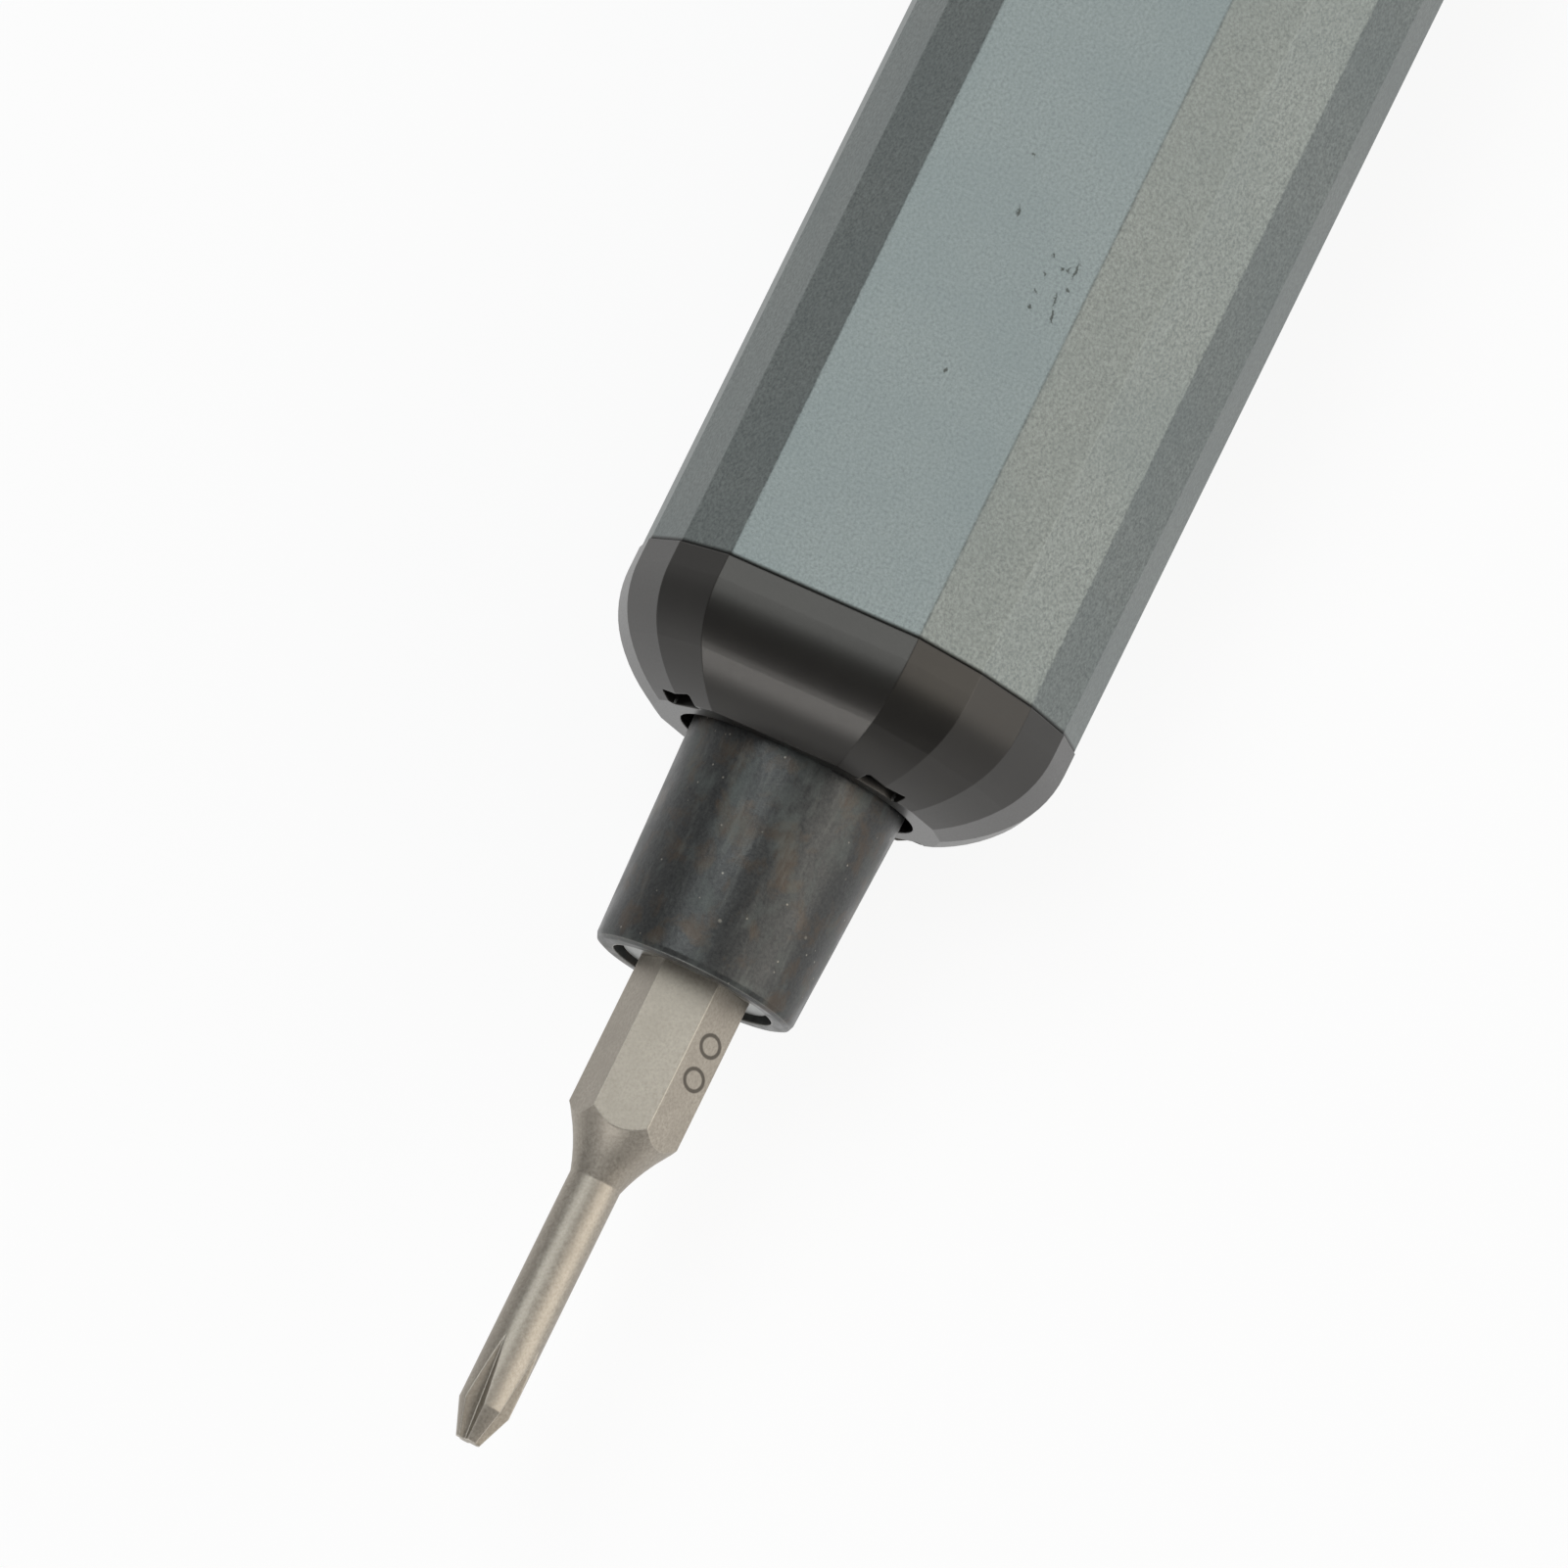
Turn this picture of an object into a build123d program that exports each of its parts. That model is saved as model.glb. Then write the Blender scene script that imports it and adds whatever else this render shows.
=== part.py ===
from build123d import *

import os
from math import acos, cos, pi, radians, sin, tan

# A slim electric screwdriver for small screws, with a 4 mm hexagon bit.
# Lengths are in millimetres and angles in degrees.
# It lies on its lower flat with its axis along X and the bit towards +X.
# The origin is on the ground, under the middle of its whole length.
# A name that ends in _x is a place along the axis.

# Body tube: two wide flats, above and below, and narrow facets round both sides
corner_radius = 9.3
flat_angle = 52
facets_each_side = 7
tube_wall = 0.8
plug_fit = 0.05

# Nose cap: the tube's facets carried over a dome, with a flat face round the bore
nose_length = 5.37
cap_proud = 0.06
nose_bore_radius = 5.0
dome_straight = 0.95
nose_shoulder_reach = 3.57
nose_shoulder_radius = 8.43
nose_face_radius = 6.17
nose_spigot_length = 5

# Light windows, light guide and lamp board
window_circle_radius = 6.1
window_width = 2.0
window_height = 0.8
window_corner_cut = 0.09
window_recess_x = 3.9
window_first_angle = 45
window_count = 4
guide_fit = 0.05
guide_ring_width = 1.3
guide_ring_thickness = 1.0
lamp_length = 0.9
lamp_width = 1.2
lamp_height = 0.5
lamp_gap = 0.2
lamp_board_radius = 6.85
lamp_board_bore = 5.05
lamp_board_thickness = 0.8
lamp_board_front_x = 0.9
nose_pocket_radius = 6.9

# Tail cap
tail_length = 4.6
tail_face_radius = 6.6
tail_shoulder_reach = 3.8
tail_shoulder_radius = 8.36
tail_spigot_length = 5.5
tail_spigot_wall = 1.0
tail_face_wall = 1.4

# Chuck: a blackened sleeve over a steel hexagon socket
sleeve_reach = 9.22
sleeve_tip_radius = 4.21
sleeve_root_radius = 4.54
sleeve_rim_round = 0.3
sleeve_rear_gap = 0.95
socket_radius = 3.4
socket_neck_radius = 3.3
socket_neck_length = 2.6
socket_recess = 0.25
socket_chamfer = 0.25
socket_fit = 0.03
magnet_radius = 1.8
magnet_length = 2.0

# Driver bit
bit_length = 28
bit_reach = 19.75
bit_across_flats = 4.0
bit_hexagon_reach = 6.1
bit_flare_length = 2.45
flare_fullness = 0.39
bit_shank_radius = 1.06
bit_tip_radius = 0.5
bit_tip_cone_length = 1.44
bit_end_chamfer = 0.35
flute_length = 4.3
flute_root_radius = 0.27
flute_angle = 92
flute_count = 4
hexagon_turn = 7.5
point_turn = 24

# Gears: two planet stages inside one toothed ring
gear_module = 0.28
sun_teeth = 12
planet_teeth = 15
ring_teeth = 42
planet_count = 3
pressure_angle = 25
tooth_addendum = 0.82
tooth_dedendum = 1.22
tooth_backlash = 0.07
second_gear_width = 4.0
first_gear_width = 3.5
gear_side_gap = 0.15
planet_pin_radius = 0.6
running_gap = 0.03

# Gearbox housing, output shaft and its bush
gearbox_radius = 7.2
gearbox_flange = 2.5
gearbox_front_wall = 2.5
gearbox_boss_radius = 3.6
gearbox_boss_length = 2.2
bush_radius = 2.5
output_shaft_radius = 1.5
output_shaft_flat = 0.35
shaft_seat_depth = 4.2
washer_radius = 3.2
washer_thickness = 0.3
clip_radius = 2.6
clip_thickness = 0.4
clip_groove_depth = 0.3
second_carrier_thickness = 1.8
first_carrier_thickness = 1.5
carrier_radius = 5.2
motor_plate_thickness = 1.0

# Motor
motor_radius = 6.0
motor_length = 20
motor_wall = 0.5
motor_boss_radius = 2.0
motor_boss_height = 0.8
motor_shaft_radius = 0.5
motor_bush_wall = 0.5
motor_shaft_tail = 1.2
magnet_thickness = 1.0
magnet_span = 130
rotor_radius = 4.2
rotor_gap_front = 2.6
rotor_length = 9.0
rotor_slots = 3
rotor_hub_radius = 1.4
rotor_shoe_thickness = 0.7
rotor_tooth_width = 1.5
rotor_slot_opening = 1.2
winding_bulge = 1.0
winding_gap = 0.1
winding_thickness = 0.7
commutator_radius = 1.3
commutator_length = 2.2
brush_width = 0.9
end_cap_thickness = 1.6
end_cap_boss_radius = 1.8
end_cap_boss_height = 0.8
terminal_width = 1.4
terminal_thickness = 0.3
terminal_length = 2.4
terminal_spacing = 8.0

# Electronics bay, between the motor and the cell
bay_length = 28
bay_wall = 1.2
bay_floor = -5.4
board_length = 26
board_width = 11
board_thickness = 1.0
board_top_z = 3.2
board_notch_radius = 0.6
ledge_width = 0.9
ledge_root = 1.0
switch_size = 3.0
switch_height = 1.6
plunger_size = 1.4
chip_size = 4.0
chip_height = 0.8
power_chip_length = 3.0
power_chip_width = 2.0

# Buttons on the upper flat
button_length = 8.0
button_width = 5.0
button_spacing = 11.5
first_button_distance = 45
button_proud = 0.5
button_travel = 0.35
button_gap = 0.15
button_flange = 0.6
button_flange_thickness = 0.6
button_edge_chamfer = 0.2
button_dish_depth = 0.15
button_dish_radius = 14

# Cell and its fittings
cell_radius = 6.5
cell_length = 40
cell_nub_radius = 2.2
cell_nub_height = 0.6
cell_gap = 0.1
cell_edge_chamfer = 0.5
cell_shoulder = 1.0
wire_hole_radius = 3.0
tab_width = 4.0
tab_thickness = 0.15
pad_thickness = 0.8
pad_side = 8.5
chassis_fit = 0.1
chassis_end_wall = 1.5

# Charging port, the standard size of its kind, and its board
port_width = 8.94
port_height = 3.26
port_depth = 7.35
port_shell = 0.3
port_rear_wall = 0.6
port_recess = 0.3
port_fit = 0.05
tongue_width = 6.69
tongue_thickness = 0.7
tongue_length = 5.4
charge_board_width = 11
charge_board_length = 7.0
charge_board_thickness = 0.8
charge_board_overhang = 2.0

# Lengths and places worked out from the sizes above
gearbox_length = (
    gearbox_front_wall
    + washer_thickness
    + second_carrier_thickness
    + second_gear_width
    + first_carrier_thickness
    + first_gear_width
    + 4 * gear_side_gap
)
chassis_length = (
    motor_length
    + terminal_length
    + bay_wall
    + bay_length
    + bay_wall
    + cell_gap
    + cell_nub_height
    + tab_thickness
    + cell_length
    + tab_thickness
    + pad_thickness
    + chassis_end_wall
)
tube_length = (
    nose_spigot_length
    + gearbox_length
    + motor_plate_thickness
    + chassis_length
    + tail_spigot_length
)
whole_length = tail_length + tube_length + nose_length + sleeve_reach + bit_reach
seam_x = -whole_length / 2 + tail_length + tube_length
tail_seam_x = seam_x - tube_length
tail_face_x = tail_seam_x - tail_length
nose_face_x = seam_x + nose_length
sleeve_face_x = nose_face_x + sleeve_reach
bit_tip_x = sleeve_face_x + bit_reach
bit_rear_x = bit_tip_x - bit_length
cap_radius = corner_radius + cap_proud
facet_angle = (180 - flat_angle) / facets_each_side
axis_z = cap_radius * cos(radians(flat_angle / 2))
flat_z = axis_z + corner_radius * cos(radians(flat_angle / 2))
tube_inner_z = flat_z - tube_wall

gearbox_face_x = seam_x - nose_spigot_length
clip_x = gearbox_face_x + gearbox_boss_length + gear_side_gap
sleeve_rear_x = clip_x + clip_thickness + sleeve_rear_gap
gearbox_wall_x = gearbox_face_x - gearbox_front_wall
washer_x = gearbox_wall_x - washer_thickness
second_carrier_x = washer_x - second_carrier_thickness
second_gear_front_x = second_carrier_x - gear_side_gap
second_gear_rear_x = second_gear_front_x - second_gear_width
first_carrier_front_x = second_gear_rear_x - gear_side_gap
first_carrier_rear_x = first_carrier_front_x - first_carrier_thickness
first_gear_front_x = first_carrier_rear_x - gear_side_gap
first_gear_rear_x = first_gear_front_x - first_gear_width
motor_plate_x = first_gear_rear_x - gear_side_gap
motor_front_x = motor_plate_x - motor_plate_thickness
motor_rear_x = motor_front_x - motor_length
end_cap_x = motor_rear_x + end_cap_thickness
rotor_front_x = motor_front_x - motor_wall - rotor_gap_front
rotor_rear_x = rotor_front_x - rotor_length
commutator_front_x = rotor_rear_x - winding_bulge - gear_side_gap
commutator_rear_x = commutator_front_x - commutator_length

bay_front_x = motor_rear_x - terminal_length - bay_wall
bay_rear_x = bay_front_x - bay_length
cell_front_x = bay_rear_x - bay_wall - cell_gap - cell_nub_height - tab_thickness
cell_rear_x = cell_front_x - cell_length
pad_x = cell_rear_x - tab_thickness - pad_thickness
chassis_rear_x = pad_x - chassis_end_wall
button_xs = [seam_x - first_button_distance, seam_x - first_button_distance - button_spacing]
planet_circle_radius = gear_module * (sun_teeth + planet_teeth) / 2

port_face_x = tail_face_x + port_recess
port_rear_x = port_face_x + port_depth
charge_board_top_z = axis_z - port_height / 2
charge_board_rear_x = port_face_x + charge_board_overhang


def across(x):
    """The plane square to the axis at x, with Y to its right and Z up."""
    return Plane(origin=(x, 0, axis_z), x_dir=(0, 1, 0), z_dir=(1, 0, 0))


def along(angle=0):
    """The plane through the axis whose second direction stands at this angle from up."""
    side = (0, -cos(radians(angle)), sin(radians(angle)))
    return Plane(origin=(0, 0, axis_z), x_dir=(1, 0, 0), z_dir=side)


axle = Axis((0, 0, axis_z), (1, 0, 0))


def corner_angles():
    """Directions of the section's sixteen corners, from the upper flat round to it again."""
    first = 90 - flat_angle / 2
    one_side = [first - i * facet_angle for i in range(facets_each_side + 1)]
    return one_side + [angle + 180 for angle in one_side]


def body_section(x, inset=0):
    """The tube's cornered section at x, with every side moved in by inset."""
    corners = [
        (corner_radius * cos(radians(a)), corner_radius * sin(radians(a)))
        for a in corner_angles()
    ]
    with BuildSketch(across(x)) as section:
        with BuildLine():
            Polyline(*corners, close=True)
        make_face()
        if inset:
            offset(amount=-inset, kind=Kind.INTERSECTION)
    return section.sketch


def disc(x, radius, bore=0):
    """A round section at x, with a bore if one is given."""
    with BuildSketch(across(x)) as section:
        Circle(radius)
        if bore:
            Circle(bore, mode=Mode.SUBTRACT)
    return section.sketch


def turned(points):
    """Half of a turned piece's section, from its (x, radius) points."""
    with BuildSketch(along()) as section:
        with BuildLine():
            Polyline(*points, close=True)
        make_face()
    return section.sketch


def hexagon(x, across_flats):
    """A hexagon section, one flat of it turned a little from straight up."""
    with BuildSketch(across(x)) as section:
        RegularPolygon(across_flats / 2, 6, major_radius=False, rotation=-hexagon_turn)
    return section.sketch


def faceted_dome(start_x, direction, length, face_radius, shoulder_reach, shoulder_radius):
    """The tube's facets carried over a dome: one slab for each pair of opposite sides.

    The dome starts at start_x and points along direction. Its profile runs straight, turns
    over a shoulder and falls in one long arc to the face. Every side has that profile at its
    own height, so the corners between the sides stay in planes through the axis.
    """
    side_angles = [0] + [
        -flat_angle / 2 - (i + 0.5) * facet_angle for i in range(facets_each_side)
    ]
    heights = [cos(radians(flat_angle / 2))]
    heights += [cos(radians(facet_angle / 2))] * facets_each_side
    with BuildPart() as dome:
        for angle, height in zip(side_angles, heights):
            with BuildSketch(along(angle)):
                with BuildLine():
                    shoulder = TangentArc(
                        (start_x + direction * dome_straight, cap_radius * height),
                        (start_x + direction * shoulder_reach, shoulder_radius * height),
                        tangent=(direction, 0),
                    )
                    fall = TangentArc(
                        shoulder @ 1,
                        (start_x + direction * length, face_radius * height),
                        tangent=shoulder % 1,
                    )
                    Polyline(
                        fall @ 1,
                        (start_x + direction * length, 0),
                        (start_x, 0),
                        (start_x, cap_radius * height),
                        shoulder @ 0,
                    )
                make_face()
                mirror(about=Plane.XZ)
            slab_mode = Mode.INTERSECT if angle else Mode.ADD
            extrude(amount=2 * corner_radius, both=True, mode=slab_mode)
    return dome.part


def involute(angle):
    """The involute function of an angle in radians."""
    return tan(angle) - angle


def tooth_half_angle(teeth, radius, slack):
    """Half of the angle that one tooth spans at this radius, in radians."""
    pitch_radius = gear_module * teeth / 2
    base_radius = pitch_radius * cos(radians(pressure_angle))
    at_pitch = pi / (2 * teeth) - slack / (4 * pitch_radius)
    reach = acos(min(1, base_radius / radius))
    return at_pitch + involute(radians(pressure_angle)) - involute(reach)


def gear_section(plane, teeth, addendum, dedendum, slack):
    """A toothed outline, its first tooth centred on the plane's own x axis.

    Each flank goes through the involute at the pitch circle and at the tip. Under the base
    circle, where the involute ends, the root is as wide as the tooth at that circle.
    """
    pitch_radius = gear_module * teeth / 2
    tip = pitch_radius + gear_module * addendum
    root = pitch_radius - gear_module * dedendum
    base = pitch_radius * cos(radians(pressure_angle))
    root_half = tooth_half_angle(teeth, max(root, base), slack)
    pitch_half = tooth_half_angle(teeth, pitch_radius, slack)
    tip_half = tooth_half_angle(teeth, tip, slack)
    outline = []
    for i in range(teeth):
        middle = 2 * pi * i / teeth
        for radius, angle in [
            (root, middle - root_half),
            (pitch_radius, middle - pitch_half),
            (tip, middle - tip_half),
            (tip, middle + tip_half),
            (pitch_radius, middle + pitch_half),
            (root, middle + root_half),
        ]:
            outline.append((radius * cos(angle), radius * sin(angle)))
    with BuildSketch(plane) as section:
        with BuildLine():
            Polyline(*outline, close=True)
        make_face()
    return section.sketch


def finish(piece, name):
    """Gives a piece its name and writes it."""
    piece.part.label = name
    export_step(piece.part, f"parts/{name}.step")


os.makedirs("parts", exist_ok=True)

# Body tube, with a slot in the upper flat for each button
with BuildPart() as body_tube:
    extrude(body_section(tail_seam_x), amount=tube_length)
    extrude(body_section(tail_seam_x, tube_wall), amount=tube_length, mode=Mode.SUBTRACT)
    with BuildSketch(Plane.XY.offset(tube_inner_z - tube_wall)):
        with Locations(*[(x, 0) for x in button_xs]):
            SlotOverall(button_length + 2 * button_gap, button_width + 2 * button_gap)
    extrude(amount=3 * tube_wall, mode=Mode.SUBTRACT)
finish(body_tube, "body_tube")

# Nose cap: a faceted dome, a spigot in the tube, a pocket for the lamps and four windows
guide_ring_rear_x = seam_x + lamp_board_front_x + lamp_height + lamp_gap
guide_ring_front_x = guide_ring_rear_x + guide_ring_thickness


def window_places():
    """One place for each light window, round the bore."""
    return PolarLocations(window_circle_radius, window_count, start_angle=window_first_angle)


nose_dome = faceted_dome(
    seam_x, 1, nose_length, nose_face_radius, nose_shoulder_reach, nose_shoulder_radius
)
with BuildPart() as nose_cap:
    add(nose_dome)
    extrude(body_section(seam_x, tube_wall + plug_fit), amount=-nose_spigot_length)
    extrude(
        disc(seam_x - nose_spigot_length, nose_pocket_radius),
        amount=nose_spigot_length + lamp_board_front_x,
        mode=Mode.SUBTRACT,
    )
    extrude(disc(seam_x, nose_bore_radius), amount=nose_length, mode=Mode.SUBTRACT)
    guide_outer_radius = window_circle_radius + guide_ring_width / 2
    guide_inner_radius = window_circle_radius - guide_ring_width / 2
    extrude(
        disc(seam_x, guide_outer_radius, guide_inner_radius),
        amount=guide_ring_front_x - seam_x,
        mode=Mode.SUBTRACT,
    )
    with BuildSketch(across(seam_x)) as windows:
        with window_places():
            Rectangle(window_height, window_width)
        chamfer(windows.vertices(), length=window_corner_cut)
    extrude(amount=nose_length, mode=Mode.SUBTRACT)
finish(nose_cap, "nose_cap")

# Light guide: a clear ring with one foot in each window
with BuildPart() as light_guide:
    extrude(
        disc(guide_ring_rear_x, guide_outer_radius - guide_fit, guide_inner_radius + guide_fit),
        amount=guide_ring_thickness,
    )
    with BuildSketch(across(guide_ring_rear_x)):
        with window_places():
            Rectangle(window_height - 2 * guide_fit, window_width - 2 * guide_fit)
    extrude(amount=seam_x + window_recess_x - guide_ring_rear_x)
finish(light_guide, "light_guide")

# Lamp board, a ring behind the light guide, and its four lamps
with BuildPart() as lamp_board:
    extrude(
        disc(seam_x + lamp_board_front_x, lamp_board_radius, lamp_board_bore),
        amount=-lamp_board_thickness,
    )
finish(lamp_board, "lamp_board")

with BuildPart() as lamps:
    with BuildSketch(across(seam_x + lamp_board_front_x)):
        with window_places():
            Rectangle(lamp_length, lamp_width)
    extrude(amount=lamp_height)
finish(lamps, "lamps")

# Chuck sleeve: a tapered steel sleeve that turns in the nose's bore
rim_step = sleeve_rim_round * (1 - cos(radians(45)))
with BuildPart() as chuck_sleeve:
    revolve(
        turned(
            [
                (sleeve_rear_x, socket_radius),
                (sleeve_rear_x, sleeve_root_radius),
                (nose_face_x, sleeve_root_radius),
                (sleeve_face_x - sleeve_rim_round, sleeve_tip_radius),
                (sleeve_face_x - rim_step, sleeve_tip_radius - rim_step),
                (sleeve_face_x, sleeve_tip_radius - sleeve_rim_round),
                (sleeve_face_x, socket_radius),
            ]
        ),
        axis=axle,
    )
finish(chuck_sleeve, "chuck_sleeve")

# Hexagon socket, pressed into the sleeve, with a magnet at the bottom of the hexagon
magnet_rear_x = bit_rear_x - magnet_length


def output_shaft_section(x):
    """The output shaft's round section with one flat."""
    with BuildSketch(across(x)) as section:
        Circle(output_shaft_radius)
        with Locations((0, 2 * output_shaft_radius - output_shaft_flat)):
            Rectangle(
                2 * output_shaft_radius, 2 * output_shaft_radius, mode=Mode.SUBTRACT
            )
    return section.sketch


with BuildPart() as bit_socket:
    revolve(
        turned(
            [
                (sleeve_rear_x, 0),
                (sleeve_rear_x, socket_radius),
                (sleeve_face_x - socket_neck_length, socket_radius),
                (sleeve_face_x - socket_neck_length, socket_neck_radius),
                (sleeve_face_x - socket_recess - socket_chamfer, socket_neck_radius),
                (sleeve_face_x - socket_recess, socket_neck_radius - socket_chamfer),
                (sleeve_face_x - socket_recess, 0),
            ]
        ),
        axis=axle,
    )
    extrude(
        hexagon(bit_rear_x, bit_across_flats + 2 * socket_fit),
        amount=sleeve_face_x - bit_rear_x,
        mode=Mode.SUBTRACT,
    )
    extrude(disc(magnet_rear_x, magnet_radius), amount=magnet_length, mode=Mode.SUBTRACT)
    extrude(
        output_shaft_section(sleeve_rear_x),
        amount=shaft_seat_depth,
        mode=Mode.SUBTRACT,
    )
finish(bit_socket, "bit_socket")

with BuildPart() as socket_magnet:
    extrude(disc(magnet_rear_x, magnet_radius), amount=magnet_length)
finish(socket_magnet, "socket_magnet")

# Driver bit: a hexagon that a turned flare cuts into scallops, a thin shank and a cross point
hexagon_end_x = sleeve_face_x + bit_hexagon_reach
neck_x = hexagon_end_x + bit_flare_length
bit_corner_radius = bit_across_flats / 2 / cos(radians(30))
flare_middle_radius = bit_shank_radius + flare_fullness * (bit_corner_radius - bit_shank_radius)
flute_rise = (bit_shank_radius - flute_root_radius) / flute_length
flute_depth = 2 * bit_shank_radius
flute_half_width = flute_depth * tan(radians(flute_angle / 2))
with BuildPart() as driver_bit:
    extrude(hexagon(bit_rear_x, bit_across_flats), amount=bit_length)
    with BuildSketch(along()):
        with BuildLine():
            Polyline(
                (bit_rear_x, 0),
                (bit_rear_x, bit_corner_radius - bit_end_chamfer),
                (bit_rear_x + bit_end_chamfer, bit_corner_radius),
                (hexagon_end_x, bit_corner_radius),
            )
            ThreePointArc(
                (hexagon_end_x, bit_corner_radius),
                ((hexagon_end_x + neck_x) / 2, flare_middle_radius),
                (neck_x, bit_shank_radius),
            )
            Polyline(
                (neck_x, bit_shank_radius),
                (bit_tip_x - bit_tip_cone_length, bit_shank_radius),
                (bit_tip_x, bit_tip_radius),
                (bit_tip_x, 0),
                (bit_rear_x, 0),
            )
        make_face()
    revolve(axis=axle, mode=Mode.INTERSECT)
    for i in range(flute_count):
        turn = 90 - hexagon_turn - point_turn + 360 / flute_count * (i + 0.5)
        outward = Vector(0, cos(radians(turn)), sin(radians(turn)))
        flute_plane = Plane(origin=(bit_tip_x, 0, axis_z), x_dir=outward, z_dir=(1, 0, 0))
        with BuildSketch(flute_plane):
            with BuildLine():
                Polyline(
                    (flute_root_radius, 0),
                    (flute_root_radius + flute_depth, flute_half_width),
                    (flute_root_radius + flute_depth, -flute_half_width),
                    close=True,
                )
            make_face()
        extrude(
            amount=1.5 * flute_length,
            dir=Vector(-1, 0, 0) + outward * flute_rise,
            mode=Mode.SUBTRACT,
        )
finish(driver_bit, "driver_bit")

# Gearbox housing: one moulding with the toothed ring inside, the shaft's boss in front and
# a flange that the tube's flats keep from turning
with BuildPart() as gearbox_housing:
    extrude(disc(gearbox_face_x, gearbox_radius), amount=motor_plate_x - gearbox_face_x)
    extrude(disc(gearbox_face_x, gearbox_boss_radius), amount=gearbox_boss_length)
    extrude(body_section(gearbox_face_x, tube_wall + chassis_fit), amount=-gearbox_flange)
    extrude(
        gear_section(
            across(motor_plate_x), ring_teeth, tooth_dedendum, tooth_addendum, -tooth_backlash
        ),
        amount=gearbox_wall_x - motor_plate_x,
        mode=Mode.SUBTRACT,
    )
    extrude(
        disc(gearbox_wall_x, bush_radius),
        amount=gearbox_front_wall + gearbox_boss_length,
        mode=Mode.SUBTRACT,
    )
finish(gearbox_housing, "gearbox_housing")

with BuildPart() as front_bush:
    extrude(
        disc(gearbox_wall_x, bush_radius, output_shaft_radius + running_gap),
        amount=gearbox_front_wall + gearbox_boss_length,
    )
finish(front_bush, "front_bush")

with BuildPart() as thrust_washer:
    extrude(
        disc(gearbox_wall_x, washer_radius, output_shaft_radius + running_gap),
        amount=-washer_thickness,
    )
finish(thrust_washer, "thrust_washer")

# Retaining clip: an open ring in the shaft's groove, in front of the bush
with BuildPart() as retaining_clip:
    with BuildSketch(across(clip_x)):
        Circle(clip_radius)
        Circle(output_shaft_radius - clip_groove_depth, mode=Mode.SUBTRACT)
        with Locations((0, -clip_radius)):
            Rectangle(1.6 * output_shaft_radius, 2 * clip_radius, mode=Mode.SUBTRACT)
    extrude(amount=clip_thickness)
finish(retaining_clip, "retaining_clip")


def planet_places():
    """One place for each planet of a stage."""
    return PolarLocations(planet_circle_radius, planet_count)


def carrier_disc(x, thickness):
    """A planet carrier's disc with a hole for each pin."""
    with BuildSketch(across(x)) as section:
        Circle(carrier_radius)
        with planet_places():
            Circle(planet_pin_radius, mode=Mode.SUBTRACT)
    return extrude(section.sketch, amount=thickness)


# Second planet carrier, in one piece with the output shaft
with BuildPart() as output_carrier:
    carrier_disc(second_carrier_x, second_carrier_thickness)
    extrude(disc(washer_x, output_shaft_radius), amount=sleeve_rear_x - washer_x)
    extrude(output_shaft_section(sleeve_rear_x), amount=shaft_seat_depth)
    extrude(
        disc(clip_x, 2 * output_shaft_radius, output_shaft_radius - clip_groove_depth),
        amount=clip_thickness,
        mode=Mode.SUBTRACT,
    )
finish(output_carrier, "output_carrier")


def pins(front_x, rear_x):
    """The pins of one stage, from rear_x to front_x."""
    with BuildSketch(across(rear_x)) as section:
        with planet_places():
            Circle(planet_pin_radius)
    return extrude(section.sketch, amount=front_x - rear_x)


with BuildPart() as second_planet_pins:
    pins(washer_x - running_gap, second_gear_rear_x)
finish(second_planet_pins, "second_planet_pins")

with BuildPart() as first_planet_pins:
    pins(first_carrier_front_x, first_gear_rear_x)
finish(first_planet_pins, "first_planet_pins")


def planet(front_x, width, number):
    """One planet gear with its bore, in its place on the stage's circle."""
    turn = 360 / planet_count * number
    centre = Plane(
        origin=(
            front_x - width,
            planet_circle_radius * cos(radians(turn)),
            axis_z + planet_circle_radius * sin(radians(turn)),
        ),
        x_dir=(0, cos(radians(turn)), sin(radians(turn))),
        z_dir=(1, 0, 0),
    )
    with BuildPart() as gear:
        extrude(
            gear_section(centre, planet_teeth, tooth_addendum, tooth_dedendum, tooth_backlash),
            amount=width,
        )
        with BuildSketch(centre):
            Circle(planet_pin_radius + running_gap)
        extrude(amount=width, mode=Mode.SUBTRACT)
    return gear


for number in range(planet_count):
    finish(
        planet(second_gear_front_x, second_gear_width, number),
        f"second_planet_{number + 1}",
    )
    finish(
        planet(first_gear_front_x, first_gear_width, number),
        f"first_planet_{number + 1}",
    )

# First planet carrier, in one piece with the second stage's sun gear
with BuildPart() as first_carrier:
    carrier_disc(first_carrier_rear_x, first_carrier_thickness)
    extrude(
        gear_section(
            across(first_carrier_front_x),
            sun_teeth,
            tooth_addendum,
            tooth_dedendum,
            tooth_backlash,
        ),
        amount=second_gear_front_x - first_carrier_front_x,
    )
finish(first_carrier, "first_carrier")

# Motor pinion, the first stage's sun gear, pressed on the motor's shaft
with BuildPart() as motor_pinion:
    extrude(
        gear_section(
            across(first_gear_rear_x),
            sun_teeth,
            tooth_addendum,
            tooth_dedendum,
            tooth_backlash,
        ),
        amount=first_gear_width,
    )
    extrude(
        disc(first_gear_rear_x, motor_shaft_radius),
        amount=first_gear_width,
        mode=Mode.SUBTRACT,
    )
finish(motor_pinion, "motor_pinion")


# Motor plate: closes the gearbox and carries the motor by its front boss
with BuildPart() as motor_plate:
    extrude(body_section(motor_front_x, tube_wall + chassis_fit), amount=motor_plate_thickness)
    extrude(
        disc(motor_front_x, motor_boss_radius),
        amount=motor_plate_thickness,
        mode=Mode.SUBTRACT,
    )
finish(motor_plate, "motor_plate")

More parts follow.
